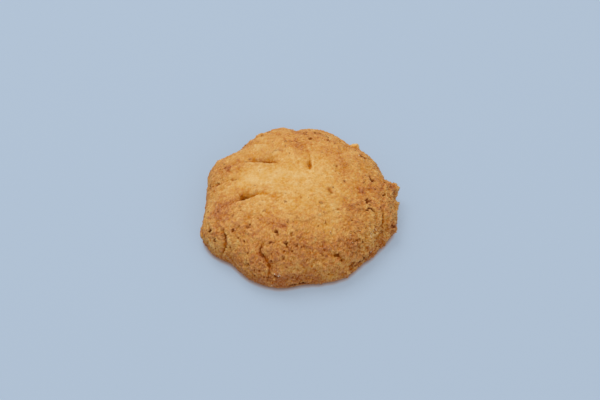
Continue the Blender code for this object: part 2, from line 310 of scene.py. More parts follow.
# Softboxes: name, then side and place in metres
KEY = ("softbox", 0.7, (-0.3, 0.5, 0.95))
FILL = ("fill_softbox", 0.5, (0.5, -0.7, 0.5))
FLOOR_SIDE = 6.0
LENS = 90  # in millimetres
AIM = (0.11 * MM, 0, 5 * MM)  # what the camera is pointed at
AIM_RAISE = 0.55  # and how far above it, in millimetres across the view


def linear(hex_colour):
    """An sRGB hex colour as linear red, green and blue."""
    values = [int(hex_colour[i : i + 2], 16) / 255 for i in (1, 3, 5)]
    return [v / 12.92 if v <= 0.04045 else ((v + 0.055) / 1.055) ** 2.4 for v in values]


def colour_property(name, description, hex_colour):
    """A colour that a user can change."""
    return FloatVectorProperty(
        name=name,
        description=description,
        default=linear(hex_colour),
        subtype="COLOR",
        size=3,
        min=0.0,
        max=1.0,
    )


def length_property(name, description, default):
    """A length that a user can change."""
    return FloatProperty(
        name=name, description=description, default=default, min=0.0, unit="LENGTH", precision=5
    )


class BiscuitShape(bpy.types.PropertyGroup):
    """Sizes of the biscuit's body."""

    height: length_property("Height", "Crown above the tray", 15.0 * MM)
    waist_height: length_property("Waist height", "Widest line above the tray", 3.4 * MM)
    tuck: length_property("Tuck", "How far the underside's edge lies inside the waist", 1.8 * MM)
    relief: FloatProperty(
        name="Relief", description="Factor on the furrows, pits and lumps", default=1.0, min=0.0
    )
    lump_height: length_property("Lump height", "Relief of the dough's soft lumps", 0.8 * MM)
    rough_height: length_property("Rough height", "Relief of the torn, uneven dough", 0.55 * MM)
    crumb_size: length_property("Crumb size", "Width of the dough's coarse crumbs", 0.8 * MM)
    crumb_height: length_property("Crumb height", "Relief of those crumbs", 0.14 * MM)
    grain_size: length_property("Grain size", "Width of the sandy grain", 0.40 * MM)
    grain_height: length_property("Grain height", "Relief of that grain", 0.15 * MM)
    pore_spacing: length_property("Pore spacing", "Between the small open pores", 1.5 * MM)
    pore_depth: length_property("Pore depth", "Depth of the small open pores", 0.4 * MM)


class CrustLook(bpy.types.PropertyGroup):
    """Colours of the baked crust, from least to most baked."""

    pale: colour_property("Pale dough", "Least baked dough, on the crown", "#EBC17B")
    light: colour_property("Light crust", "Lightly baked crust round the crown", "#E6B159")
    golden: colour_property("Golden crust", "Evenly baked crust", "#E0A046")
    brown: colour_property("Brown crust", "Well baked rim and front", "#D68E39")
    deep: colour_property("Deep brown crust", "Most baked spots", "#C17329")
    # The dark colour is mixed in at pits, cracks, pores, furrows and the tuck: partly their darker baked
    # inside, partly painted shade
    dark: colour_property("Dark crust", "Inside of pits and cracks", "#7B3A12")
    # Painted shade: tints multiplied into the crust's colour, most in gaps, dips, furrows and at the foot
    pale_shade_tint: colour_property("Pale crease tint", "Tint of light from a pale crease", "#F4D563")
    crease: colour_property("Crease tint", "Tint of light from a brown crease", "#E2BB62")
    toast: FloatProperty(
        name="Toast", description="Shift of the whole crust towards brown", default=0.0
    )


class LooseGrains(bpy.types.PropertyGroup):
    """Crumbs and sugar stuck to the crust."""

    crumbs: FloatProperty(
        name="Crumbs",
        description="Crumbs on each square centimetre of rough crust",
        default=16.0,
        min=0.0,
    )
    crumb_size: length_property("Crumb size", "Width of the largest crumbs", 1.0 * MM)
    crumb: colour_property("Crumb colour", "Golden, lightly baked dough", "#DBA764")
    sugar: FloatProperty(
        name="Sugar",
        description="Sugar crystals on each square centimetre where it shows",
        default=130.0,
        min=0.0,
    )
    sugar_size: length_property("Sugar size", "Width of the largest crystals", 0.6 * MM)
    sugar_colour: colour_property("Sugar colour", "Clear white sugar, a little melted", "#FFEBD0")


class StageSettings(bpy.types.PropertyGroup):
    """Floor, light and camera."""

    floor: colour_property("Floor", "Pale blue-grey light panel", "#B2C3D6")
    # Painted warm light in the floor's painted contact shadow
    contact_shadow_warmth: colour_property("Floor edge", "Light through the crust on the panel", "#E1AD90")
    key_power: FloatProperty(
        name="Key power", description="Power of the overhead softbox", default=5.75, unit="POWER"
    )
    fill_power: FloatProperty(
        name="Fill power", description="Power of the weak softbox in front", default=1.25, unit="POWER"
    )
    sky: FloatProperty(name="Sky", description="Strength of the even room light", default=0.54)
    elevation: FloatProperty(
        name="Elevation",
        description="Camera's height above the table as an angle",
        default=math.radians(50),
        unit="ROTATION",
    )
    distance: length_property("Distance", "Camera to the biscuit", 428.6 * MM)


# ---------------------------------------------------------------- places on the crust


def dome_profile(shape, samples=400, tuck_samples=60):
    """Radius, height and reach down the side, from the crown to the underside's edge."""
    turn = np.linspace(0.0, math.pi / 2, samples)
    radius = OUTLINE_MEAN * MM * np.sin(turn) ** (2 / DOME_FULLNESS)
    rise = (shape.height - shape.waist_height) * np.cos(turn)
    low = np.linspace(0.0, math.pi / 2, tuck_samples)[1:]
    radius = np.append(radius, OUTLINE_MEAN * MM - shape.tuck * (1 - np.cos(low)))
    height = np.append(shape.waist_height + rise, shape.waist_height * (1 - np.sin(low)))
    steps = np.hypot(np.diff(radius), np.diff(height))
    return radius, height, np.append(0.0, np.cumsum(steps))


def outline_stretch(angle):
    """How far the lobed outline stretches the round blank at an angle in degrees."""
    at, radius = np.array(OUTLINE).T
    slope = (np.roll(radius, -1) - np.roll(radius, 1)) / (
        (np.roll(at, -1) - np.roll(at, 1)) % 360
    )
    angle = angle % 360
    here = np.searchsorted(at, angle, side="right") - 1
    after = (here + 1) % len(at)
    span = (at[after] - at[here]) % 360
    t = (angle - at[here]) / span
    blend = t * t * (3 - 2 * t)
    leave = t * (1 - t) ** 2 * span * slope[here]
    arrive = t * t * (t - 1) * span * slope[after]
    return (radius[here] + blend * (radius[after] - radius[here]) + leave + arrive) / OUTLINE_MEAN


def unrolled(angle, reach):
    """Places on the crust as points of the crust laid out flat, one row each."""
    turn = np.radians(angle)
    return np.stack([reach * np.cos(turn), reach * np.sin(turn)], axis=-1)


def smooth_line(places):
    """Points along a smooth curve through (angle, reach) places on the flat crust."""
    angle, reach = np.array(places, float)[:, :2].T
    knots = unrolled(angle, reach * MM)
    knots = np.vstack([2 * knots[0] - knots[1], knots, 2 * knots[-1] - knots[-2]])
    along = np.linspace(0, len(places) - 1, CURVE_SAMPLES)
    start = np.minimum(along.astype(int), len(places) - 2)
    t = (along - start)[:, None]
    a, b, c, d = (knots[start + i] for i in range(4))
    bend = (c - a) * t + (2 * a - 5 * b + 4 * c - d) * t**2 + (3 * b - 3 * c + d - a) * t**3
    return b + bend / 2


def line_distances(flat, line):
    """For each place: side of the line, overshoot past its end, and share along it."""
    away = flat[:, None, :] - line[None, :, :]
    nearest = np.argmin((away**2).sum(axis=2), axis=1)
    away = away[np.arange(len(flat)), nearest]
    heading = np.gradient(line, axis=0)[nearest]
    heading /= np.linalg.norm(heading, axis=1)[:, None]
    side = heading[:, 0] * away[:, 1] - heading[:, 1] * away[:, 0]
    beyond = (heading * away).sum(axis=1)
    return side, beyond, (nearest + 0.5) / len(line)


def noise_vectors(points, size):
    """Smooth noise vectors over points, with features of one size, the same on every run."""
    noise.seed_set(RAGGED_SEED)
    return np.array([noise.noise_vector(Vector(p)) for p in (points / size).tolist()])


# ---------------------------------------------------------------- the crust's form


def crust_grid():
    """A square grid bent to a disc: points of the unit disc, its quads and its edge."""
    line = np.linspace(-1.0, 1.0, GRID + 1)
    across, up = np.meshgrid(line, line)
    wide = np.abs(across) >= np.abs(up)
    main = np.where(wide, across, up)
    other = np.where(wide, up, across)
    turn = math.pi / 4 * other / np.where(main == 0, 1.0, main)
    x = main * np.where(wide, np.cos(turn), np.sin(turn))
    y = main * np.where(wide, np.sin(turn), np.cos(turn))
    disc = np.stack([x.ravel(), y.ravel()], axis=1)
    index = np.arange((GRID + 1) ** 2).reshape(GRID + 1, GRID + 1)
    quads = np.stack(
        [index[:-1, :-1], index[:-1, 1:], index[1:, 1:], index[1:, :-1]], axis=-1
    ).reshape(-1, 4)
    edge = np.concatenate([index[0, :-1], index[:-1, -1], index[-1, :0:-1], index[:0:-1, 0]])
    return disc, quads, edge


def furrow_relief(flat, walls, places):
    """How far one furrow moves the crust: down along its line, up at its steep side's lip."""
    side, beyond, share = line_distances(flat, smooth_line(places))
    stations = np.linspace(0.0, 1.0, len(places))
    depth = np.interp(share, stations, [place[2] for place in places])
    clockwise, counter = (wall * MM for wall in walls)
    across = side / np.where(side > 0, counter, clockwise)
    trough = np.exp(-np.abs(across) ** FURROW_CUSP)
    steep = 1 if counter < clockwise else -1
    from_lip = (side - steep * (min(clockwise, counter) + LIP_WIDTH)) / LIP_WIDTH
    lip = LIP_SHARE * np.exp(-(from_lip**2)) if clockwise != counter else 0.0
    ends = np.exp(-((beyond / FURROW_END) ** 2))
    return depth * MM * ends * (lip - trough)


def crack_relief(flat, depth, width, places):
    """One fine crack, as a share from 0 to 1 of how open it is at each place."""
    side, beyond, share = line_distances(flat, smooth_line(places))
    strength = np.sin(math.pi * share) ** 0.4
    return depth * strength * np.exp(-((side**2 + beyond**2) / (width * MM) ** 2))


def round_spot(flat, angle, reach, radius, power=2.0):
    """1 at a place, fading out over a radius; a higher power makes its edge sharper."""
    away = np.linalg.norm(flat - unrolled(angle, reach * MM), axis=1)
    return np.exp(-((away / (radius * MM)) ** power))


def oval_patch(flat, angle, reach, length, width, heading):
    """1 at a place, fading out over an oval."""
    away = flat - unrolled(angle, reach * MM)
    turn = math.radians(heading)
    along = away[:, 0] * math.cos(turn) + away[:, 1] * math.sin(turn)
    across = away[:, 1] * math.cos(turn) - away[:, 0] * math.sin(turn)
    return np.exp(-((along / (length * MM)) ** 2) - (across / (width * MM)) ** 2)


def ramp_up(value, start, end):
    """0 up to a start, 1 from an end on, and even in between."""
    return np.clip((value - start) / (end - start), 0, 1)


def crust_fields(flat, angle, reach):
    """Relief in metres and, from 0 to 1, how brown, how hollow and how coarse each place is; the hollow
    field also carries painted shade under the tuck.
    """
    sheet = np.pad(flat, ((0, 0), (0, 1)))
    broad, fine, grit = (noise_vectors(sheet, size) for size in (BROAD, FINE, GRIT))

    def ragged(by_broad, by_fine):
        return flat + (broad[:, :2] * by_broad + fine[:, :2] * by_fine) * MM

    places = ragged(*RAGGED_FURROWS)
    furrows = sum(furrow_relief(places, *furrow) for furrow in FURROWS.values())
    places = ragged(*RAGGED_CRACKS)
    broken = np.clip(0.9 + 1.2 * fine[:, 2], 0.35, 1)
    cracks = sum(crack_relief(places, *crack) for crack in CRACKS) * broken
    torn_edge = (fine[:, 1:] * RAGGED_PITS[0] + grit[:, :2] * RAGGED_PITS[1]) * MM
    pits = sum(
        depth * round_spot(flat + torn_edge * size, a, r, size, PIT_EDGE)
        for a, r, size, depth in PITS
    )
    places = ragged(*RAGGED_LUMPS)
    lumps = sum(height * round_spot(places, a, r, size) for a, r, size, height in LUMPS)
    torn = np.clip(1.4 * np.cos(np.radians(angle - TORN_SIDE)) - 0.35, 0, 1)
    torn *= ramp_up(reach / MM, *TORN_REACH)
    lumps += torn * (broad[:, 2] * TORN_LUMPS[0] + fine[:, 2] * TORN_LUMPS[1])

    toast = np.interp(reach / MM, *zip(*BROWNING))
    browner_side = np.cos(np.radians(angle - BROWNER_SIDE))
    toast += BROWNER_SHARE * browner_side * ramp_up(reach / MM, *BROWNER_REACH)
    smudge = (broad[:, 1:] * RAGGED_PATCHES[0] + fine[:, 1:] * RAGGED_PATCHES[1]) * MM
    toast += sum(
        browner * oval_patch(flat + smudge * width, a, r, length, width, heading)
        for a, r, length, width, heading, browner in PATCHES
    )
    coarse = COARSE_ANYWHERE + COARSE_BROWNED * np.clip(toast, 0, 1) + COARSE_TORN * torn
    furrow = np.clip(-furrows / FURROW_FULL, 0, 1)
    # Painted shade: the tuck near the tray and the furrows are darkened through the hollow field, besides
    # cracks and pits
    tuck_shade = 0.5 * np.clip((reach / MM - TUCK_SHADE_REACH) / 1.5 + fine[:, 0], 0, 1)
    relief = furrows + (lumps - OPENING_DEPTH * cracks - OPENING_DEPTH * pits) * MM
    hollow = cracks * HOLLOW_CRACK + pits * HOLLOW_PIT + FURROW_SHADE_DARK * furrow**2 + tuck_shade
    sugary = sum(share * round_spot(flat, a, r, size) for a, r, size, share in SUGARY)
    return relief, {
        "toast": toast,
        "hollow": np.clip(hollow, 0, 1),
        # The foot near the tray joins the furrow field, so it gets the furrow's painted shade
        "furrow": np.maximum(furrow, FOOT_SHADE_SHARE * ramp_up(reach / MM, *FOOT_SHADE_REACH)),
        "coarse": coarse,
        "crumbly": coarse**2,
        "sugary": SUGAR_ELSEWHERE + sugary,
    }


def build_crust_mesh(shape):
    """The biscuit's body as a closed mesh with the fields that its material reads."""
    disc, quads, edge = crust_grid()
    radius, height, reaches = dome_profile(shape)
    share = np.linalg.norm(disc, axis=1)
    angle = np.degrees(np.arctan2(disc[:, 1], disc[:, 0]))
    reach = share * reaches[-1]
    flat = unrolled(angle, reach)
    waist_reach = np.interp(-shape.waist_height, -height, reaches)

    relief, fields = crust_fields(flat, angle, reach)
    at_height = np.interp(reach, reaches, height)
    low = np.clip(FREE_FROM * (at_height / shape.waist_height), 0.0, 1.0)
    free = low * low * (3 - 2 * low)
    swells = sum(
        size * MM * np.cos(np.radians(waves * (angle - crest))) for size, waves, crest in SWELLS
    )
    swells *= np.sin(math.pi * np.minimum(reach / waist_reach, 1.0)) ** 2
    relief = (relief * shape.relief + swells) * free

    # Relief acts square to the crust: upwards on top, outwards at the rim
    slope_r = np.interp(reach, reaches, np.gradient(radius, reaches))
    slope_z = np.interp(reach, reaches, np.gradient(height, reaches))
    length = np.hypot(slope_r, slope_z)
    turn = np.radians(angle)
    smooth_radius = np.interp(reach, reaches, radius) * outline_stretch(angle)
    smooth = np.stack([smooth_radius * np.cos(turn), smooth_radius * np.sin(turn)], axis=1)
    at_radius = smooth_radius - slope_z / length * relief
    points = np.stack(
        [
            at_radius * np.cos(turn),
            at_radius * np.sin(turn),
            np.maximum(at_height + slope_r / length * relief, 0.0),
        ],
        axis=1,
    )
    middle = (smooth.min(axis=0) + smooth.max(axis=0)) / 2
    target = (np.array(BOX_LOW) + np.array(BOX_HIGH))[:2] / 2
    points[:, :2] += target - middle
    points[edge, 2] = 0.0

    fields["free"] = free
    return close_underside(points, quads, edge, fields)


def close_underside(points, quads, edge, fields):
    """Add the flat underside's rings inside the edge, and give the mesh its fields."""
    faces = quads.tolist()
    rim = points[edge]
    centre = rim.mean(axis=0)
    ring = edge
    made = [points]
    count = len(points)
    for share in UNDERSIDE_RINGS:
        made.append(centre + (rim - centre) * share)
        inner = np.arange(count, count + len(edge))
        count += len(edge)
        after, inner_after = np.roll(ring, -1), np.roll(inner, -1)
        faces += np.stack([ring, inner, inner_after, after], axis=1).tolist()
        ring = inner
    made.append(centre[None, :])
    after = np.roll(ring, -1)
    faces += np.stack([after, ring, np.full(len(ring), count)], axis=1).tolist()
    mesh = bpy.data.meshes.new("shortbread_crust")
    mesh.from_pydata(np.vstack(made).tolist(), [], faces)
    extra = count + 1 - len(points)
    for name, values in fields.items():
        tail = np.full(extra, UNDERSIDE_BROWN if name == "toast" else 0.0)
        layer = mesh.attributes.new(name, "FLOAT", "POINT")
        layer.data.foreach_set("value", np.append(values, tail).astype(np.float32))
    mesh.shade_smooth()
    mesh.update()
    return mesh


# ---------------------------------------------------------------- node trees

# Some sockets go by number. Math: 0 to 2 are the values. Map Range: 1 and 2 are the ends
# mapped from, 3 and 4 the ends mapped to. Mix: 6 and 7 are the colours, 0 is the share of 7.


def set_inputs(tree, node, inputs):
    """Link a node's inputs to sockets or set them to values."""
    for key, value in inputs.items():
        if isinstance(value, bpy.types.NodeSocket):
            tree.links.new(value, node.inputs[key])
        else:
            node.inputs[key].default_value = value


def add_node(tree, kind, inputs=None, output=0, **settings):
    """Add a node with its settings and inputs, and return one of its outputs."""
    node = tree.nodes.new(kind)
    for name, value in settings.items():
        setattr(node, name, value)
    set_inputs(tree, node, inputs or {})
    return node.outputs[output]


def weighted_sum(tree, total, parts):
    """A starting value plus every part's value times its amount."""
    for value, amount in parts:
        total = add_node(
            tree, "ShaderNodeMath", {0: value, 1: amount, 2: total}, operation="MULTIPLY_ADD"
        )
    return total


def new_geometry_tree(name, sizes):
    """An empty Geometry Nodes tree with named inputs for its sizes, which it returns too."""
    tree = bpy.data.node_groups.new(name, "GeometryNodeTree")
    tree.interface.new_socket("Geometry", in_out="INPUT", socket_type="NodeSocketGeometry")
    tree.interface.new_socket("Geometry", in_out="OUTPUT", socket_type="NodeSocketGeometry")
    for label in sizes:
        kind = "NodeSocketInt" if label == "Seed" else "NodeSocketFloat"
        tree.interface.new_socket(label, in_out="INPUT", socket_type=kind)
    return tree, tree.nodes.new("NodeGroupInput").outputs


def finish_geometry_tree(tree, geometry, material):
    """End a tree with real, not instanced, geometry in its material."""
    real = add_node(tree, "GeometryNodeRealizeInstances", {"Geometry": geometry})
    skin = add_node(tree, "GeometryNodeSetMaterial", {"Geometry": real, "Material": material})
    tree.links.new(skin, tree.nodes.new("NodeGroupOutput").inputs[0])
    return tree


def run_geometry_tree(name, mesh, tree, values):
    """The plain mesh that a Geometry Nodes tree makes from a mesh."""
    carrier = bpy.data.objects.new(name + "_source", mesh)
    bpy.context.scene.collection.objects.link(carrier)
    modifier = carrier.modifiers.new(name, "NODES")
    modifier.node_group = tree
    for item in tree.interface.items_tree:
        if item.in_out == "INPUT" and item.name in values:
            modifier[item.identifier] = values[item.name]
    evaluated = carrier.evaluated_get(bpy.context.evaluated_depsgraph_get())
    made = bpy.data.meshes.new_from_object(evaluated)
    bpy.data.objects.remove(carrier, do_unlink=True)
    made.name = name
    return made


def relief_tree(material):
    """Sandy crumb relief: soft lumps, crumbs and grains of uneven height, and small pores."""
    tree, sizes = new_geometry_tree("crumb_relief", RELIEF_SIZES)
    add = partial(add_node, tree)
    place = add("GeometryNodeInputPosition")
    free, coarse = (
        add("GeometryNodeInputNamedAttribute", {"Name": name}, data_type="FLOAT")
        for name in ("free", "coarse")
    )

    # Soft lumps of dough, and its torn, uneven surface
    waves = []
    for width, detail, roughness, height in (
        (2.6 * MM, 3.0, 0.6, "Lump Height"), (1.1 * MM, 4.0, 0.75, "Rough Height")
    ):
        wave = add(
            "ShaderNodeTexNoise",
            {"Vector": place, "Scale": 1 / width, "Detail": detail, "Roughness": roughness},
        )
        wave = add("ShaderNodeMath", {0: wave, 1: 0.5}, operation="SUBTRACT")
        wave = add("ShaderNodeMath", {0: wave, 1: sizes[height]}, operation="MULTIPLY")
        waves.append(wave)
    lift, fine = waves

    # Crumbs and pores are read at bent places, so that none of them is round
    swirl = add(
        "ShaderNodeTexNoise",
        {"Vector": place, "Scale": 1 / (0.9 * MM), "Detail": 2.0},
        output="Color",
    )
    bend = add("ShaderNodeVectorMath", {0: swirl, "Scale": 0.4 * MM}, operation="SCALE")
    bent = add("ShaderNodeVectorMath", {0: place, 1: bend}, operation="ADD")

    # Each crumb is a broken facet at a height of its own, a little crowned
    kept = {}
    for kind in ("Crumb", "Grain"):
        size, height = sizes[kind + " Size"], sizes[kind + " Height"]
        scale = add("ShaderNodeMath", {0: 1.0, 1: size}, operation="DIVIDE")
        cells = add("ShaderNodeTexVoronoi", {"Vector": bent, "Scale": scale}).node
        distance, tint = cells.outputs[:2]
        dome = add(
            "ShaderNodeMapRange",
            {"Value": distance, 1: 0.0, 2: 0.75, 3: 0.6, 4: -0.5},
            interpolation_type="SMOOTHSTEP",
        )
        facet = add("ShaderNodeMath", {0: tint, 1: 0.5}, operation="SUBTRACT")
        high = add(
            "ShaderNodeMath", {0: facet, 1: FACET_SHARE, 2: dome}, operation="MULTIPLY_ADD"
        )
        fine = add("ShaderNodeMath", {0: high, 1: height, 2: fine}, operation="MULTIPLY_ADD")
        kept[kind.lower()] = tint
    fine = add("ShaderNodeMath", {0: fine, 1: coarse}, operation="MULTIPLY")

    # Only some cells hold a pore, and its radius varies
    scale = add("ShaderNodeMath", {0: 1.0, 1: sizes["Pore Spacing"]}, operation="DIVIDE")
    cells = add("ShaderNodeTexVoronoi", {"Vector": bent, "Scale": scale}).node
    distance, chance = cells.outputs[:2]
    radius = add("ShaderNodeMapRange", {"Value": chance, 1: 0.5, 2: 0.85, 3: 0.0, 4: 0.3})
    radius = add("ShaderNodeMath", {0: radius, 1: coarse}, operation="MULTIPLY")
    inside = add("ShaderNodeMath", {0: radius, 1: distance}, operation="SUBTRACT")
    kept["pore"] = add(
        "ShaderNodeMapRange",
        {"Value": inside, 1: 0.0, 2: 0.12, 3: 0.0, 4: 1.0},
        interpolation_type="SMOOTHSTEP",
    )
    sunk = add("ShaderNodeMath", {0: kept["pore"], 1: sizes["Pore Depth"]}, operation="MULTIPLY")

    for operation, value in (("ADD", fine), ("SUBTRACT", sunk), ("MULTIPLY", free)):
        lift = add("ShaderNodeMath", {0: lift, 1: value}, operation=operation)
    normal = add("GeometryNodeInputNormal")
    move = add("ShaderNodeVectorMath", {0: normal, "Scale": lift}, operation="SCALE")
    geometry = sizes["Geometry"]
    for name, value in kept.items():
        geometry = add(
            "GeometryNodeStoreNamedAttribute",
            {"Geometry": geometry, "Name": name, "Value": value},
            data_type="FLOAT",
            domain="POINT",
        )
    geometry = add("GeometryNodeSetPosition", {"Geometry": geometry, "Offset": move})

    # How deep each place lies below the crust round it, in millimetres; the material paints shade from
    # these
    for name, iterations in (("gap", GAP_BLUR), ("dip", DIP_BLUR)):
        smoothed = add(
            "GeometryNodeBlurAttribute",
            {"Value": place, "Iterations": iterations},
            data_type="FLOAT_VECTOR",
        )
        above = add("ShaderNodeVectorMath", {0: smoothed, 1: place}, operation="SUBTRACT")
        depth = add(
            "ShaderNodeVectorMath", {0: above, 1: normal}, output="Value", operation="DOT_PRODUCT"
        )
        depth = add("ShaderNodeMath", {0: depth, 1: 1 / MM}, operation="MULTIPLY")
        geometry = add(
            "GeometryNodeStoreNamedAttribute",
            {"Geometry": geometry, "Name": name, "Value": depth},
            data_type="FLOAT",
            domain="POINT",
        )
    return finish_geometry_tree(tree, geometry, material)


def scatter_tree(name, material, where, faceted):
    """Small lumps of uneven size, half sunk in the rough parts of a crust."""
    tree, sizes = new_geometry_tree(name, ("Per Square Metre", "Size", "Sink", "Seed"))
    add = partial(add_node, tree)
    share, free, hollow = (
        add("GeometryNodeInputNamedAttribute", {"Name": label}, data_type="FLOAT")
        for label in (where, "free", "hollow")
    )
    closed = add("ShaderNodeMath", {0: 1.0, 1: hollow}, operation="SUBTRACT")
    density = sizes["Per Square Metre"]
    for factor in (share, free, closed):
        density = add("ShaderNodeMath", {0: density, 1: factor}, operation="MULTIPLY")
    scattered = add(
        "GeometryNodeDistributePointsOnFaces",
        {"Mesh": sizes["Geometry"], "Density": density, "Seed": sizes["Seed"]},
        distribute_method="RANDOM",
    ).node
    spots, normal = scattered.outputs[:2]

    # One lump, its ball pushed in and out unevenly
    ball = add("GeometryNodeMeshIcoSphere", {"Radius": 0.5, "Subdivisions": 1 if faceted else 2})
    uneven = add("ShaderNodeTexNoise", {"Scale": 2.3, "Detail": 1.0}, output="Color")
    uneven = add("ShaderNodeVectorMath", {0: uneven, 1: (0.5, 0.5, 0.5)}, operation="SUBTRACT")
    uneven = add("ShaderNodeVectorMath", {0: uneven, "Scale": 1.3}, operation="SCALE")
    lump = add("GeometryNodeSetPosition", {"Geometry": ball, "Offset": uneven})
    lump = add("GeometryNodeSetShadeSmooth", {"Geometry": lump, "Shade Smooth": not faceted})

    # Many small lumps and a few large ones
    seed = add("ShaderNodeMath", {0: sizes["Seed"], 1: 1.0}, operation="ADD")
    chance = add("FunctionNodeRandomValue", {"Seed": seed}, output=1, data_type="FLOAT")
    large = add("ShaderNodeMath", {0: chance, 1: 2.5}, operation="POWER")
    large = add("ShaderNodeMapRange", {"Value": large, "To Min": 0.35, "To Max": 1.0})
    width = add("ShaderNodeMath", {0: large, 1: sizes["Size"]}, operation="MULTIPLY")
    stretch, turn = (
        add("FunctionNodeRandomValue", {0: least, 1: most, "Seed": seed}, data_type="FLOAT_VECTOR")
        for least, most in (((0.7, 0.7, 0.6), (1.2, 1.2, 1.0)), ((0.0,) * 3, (2 * math.pi,) * 3))
    )
    scale = add("ShaderNodeVectorMath", {0: stretch, "Scale": width}, operation="SCALE")
    depth = add("ShaderNodeMath", {0: width, 1: sizes["Sink"]}, operation="MULTIPLY")
    sunk = add("ShaderNodeVectorMath", {0: normal, "Scale": depth}, operation="SCALE")
    down = add("ShaderNodeVectorMath", {0: sunk, 1: (-1, -1, -1)}, operation="MULTIPLY")
    spots = add(
        "GeometryNodeStoreNamedAttribute",
        {"Geometry": spots, "Name": "tint", "Value": chance},
        data_type="FLOAT",
        domain="POINT",
    )
    spots = add("GeometryNodeSetPosition", {"Geometry": spots, "Offset": down})
    copies = add(
        "GeometryNodeInstanceOnPoints",
        {"Points": spots, "Instance": lump, "Rotation": turn, "Scale": scale},
    )
    return finish_geometry_tree(tree, copies, material)


# ---------------------------------------------------------------- materials


def new_material(name):
    """A node material, its tree and its shader."""
    material = bpy.data.materials.new(name)
    material.use_nodes = True
    tree = material.node_tree
    return material, tree, tree.nodes["Principled BSDF"]


def baked_crust_material(look):
    """Baked shortbread crust.

    A dry, open crumb of flour, butter and sugar. It scatters light evenly, with a weak
    greasy gloss on the grain tops; it browns where it is thin, high or near the tray.
    Its colour also carries painted shade: gaps, dips, furrows, pits, cracks, pores and the
    foot are darkened and tinted golden.
    """
    material, tree, shader = new_material("baked_shortbread")
    add = partial(add_node, tree)
    place = add("ShaderNodeTexCoord", output="Object")
    given = {
        name: add("ShaderNodeAttribute", output="Fac", attribute_name=name)
        for name in ("toast", "hollow", "furrow", "gap", "dip", "pore", "crumb", "grain")
    }

    # Uneven browning: some crumbs and grains took more or less heat. Gaps and furrows are made browner as
    # painted shade
    total = weighted_sum(
        tree,
        look.toast,
        ((given["toast"], 1.0), (given["furrow"], FURROW_SHADE_BROWN), (given["gap"], GAP_SHADE_BROWN)),
    )
    for name, none, full, amount in ODD_GRAINS:
        odd = add("ShaderNodeMapRange", {"Value": given[name], 1: none, 2: full, 3: 0.0, 4: amount})
        total = add("ShaderNodeMath", {0: total, 1: odd}, operation="ADD")

    # Blotches of several sizes, all of them weaker where little is baked
    blotches = [
        (add("ShaderNodeTexNoise", {"Vector": place, "Scale": 1 / (width * MM), "Detail": 2.0}), much)
        for width, much in BLOTCHES
    ]
    uneven = weighted_sum(tree, 0.0, blotches)
    middle = sum(much for _, much in BLOTCHES) / 2
    uneven = add("ShaderNodeMath", {0: uneven, 1: middle}, operation="SUBTRACT")
    baked = add("ShaderNodeMapRange", {"Value": given["toast"], 1: 0.1, 2: 0.5, 3: 0.2, 4: 1.0})
    total = add("ShaderNodeMath", {0: uneven, 1: baked, 2: total}, operation="MULTIPLY_ADD")

    browned = add("ShaderNodeValToRGB", {"Fac": total})
    stops = browned.node.color_ramp.elements
    stops[1].position = 1.0
    for n, colour in enumerate((look.pale, look.light, look.golden, look.brown, look.deep)):
        stop = stops[0] if n == 0 else stops[-1] if n == 4 else stops.new(n / 4)
        stop.color = (*colour, 1.0)

    # Painted shade: the colour is multiplied by a golden tint, as light that has been through more dough
    # looks, most in gaps, dips, furrows and at the foot; the tint also varies at random between grains
    # and patches
    speck, patch, fine = (
        add(
            "ShaderNodeTexNoise",
            {"Vector": place, "Scale": 1 / width, "Detail": detail, "Roughness": roughness},
        )
        for width, detail, roughness in (
            (1.2 * MM, 4.0, 0.8), (3.5 * MM, 2.0, 0.6), (0.3 * MM, 3.0, 0.65)
        )
    )
    crease = weighted_sum(
        tree,
        OPEN_CREASE - 0.5 * (SPECK_CREASE + PATCH_CREASE),
        (
            (speck, SPECK_CREASE),
            (patch, PATCH_CREASE),
            (given["gap"], GAP_SHADE_TINT),
            (given["dip"], DIP_SHADE_TINT),
            (given["furrow"], FURROW_SHADE_TINT),
        ),
    )
    crease = add("ShaderNodeClamp", {"Value": crease})
    tints = {0: baked, 6: (*look.pale_shade_tint, 1.0), 7: (*look.crease, 1.0)}
    tint = add("ShaderNodeMix", tints, output=2, data_type="RGBA")
    shade_tinted = add(
        "ShaderNodeMix",
        {0: crease, 6: browned, 7: tint},
        output=2,
        data_type="RGBA",
        blend_type="MULTIPLY",
    )
    # Darkened towards the dark colour in pores, cracks, pits, furrows and at the tuck: painted shade,
    # with the darker baked inside of pits and cracks
    dark_and_shade_share = add(
        "ShaderNodeMath",
        {0: given["pore"], 1: PORE_SHADE_DARK, 2: given["hollow"]},
        operation="MULTIPLY_ADD",
        use_clamp=True,
    )
    shades = {0: dark_and_shade_share, 6: shade_tinted, 7: (*look.dark, 1.0)}
    colour = add("ShaderNodeMix", shades, output=2, data_type="RGBA")

    # Butter shines on the grain tops and not in creases, pits and pores
    rough = add(
        "ShaderNodeMapRange",
        {"Value": fine, "From Min": 0.35, "From Max": 0.65, "To Min": 0.85, "To Max": 0.4},
    )
    gloss = add("ShaderNodeMapRange", {"Value": crease, "To Min": 1.0, "To Max": 0.0})
    closed = add("ShaderNodeMath", {0: 1.0, 1: dark_and_shade_share}, operation="SUBTRACT")
    gloss = add("ShaderNodeMath", {0: gloss, 1: closed}, operation="MULTIPLY")
    bump = add("ShaderNodeBump", {"Strength": 1.0, "Distance": GRAIN_BUMP, "Height": fine})
    set_inputs(
        tree,
        shader,
        {
            "Base Color": colour,
            "Roughness": rough,
            "IOR": 1.5,
            "Specular IOR Level": gloss,
            "Normal": bump,
        },
    )
    return material


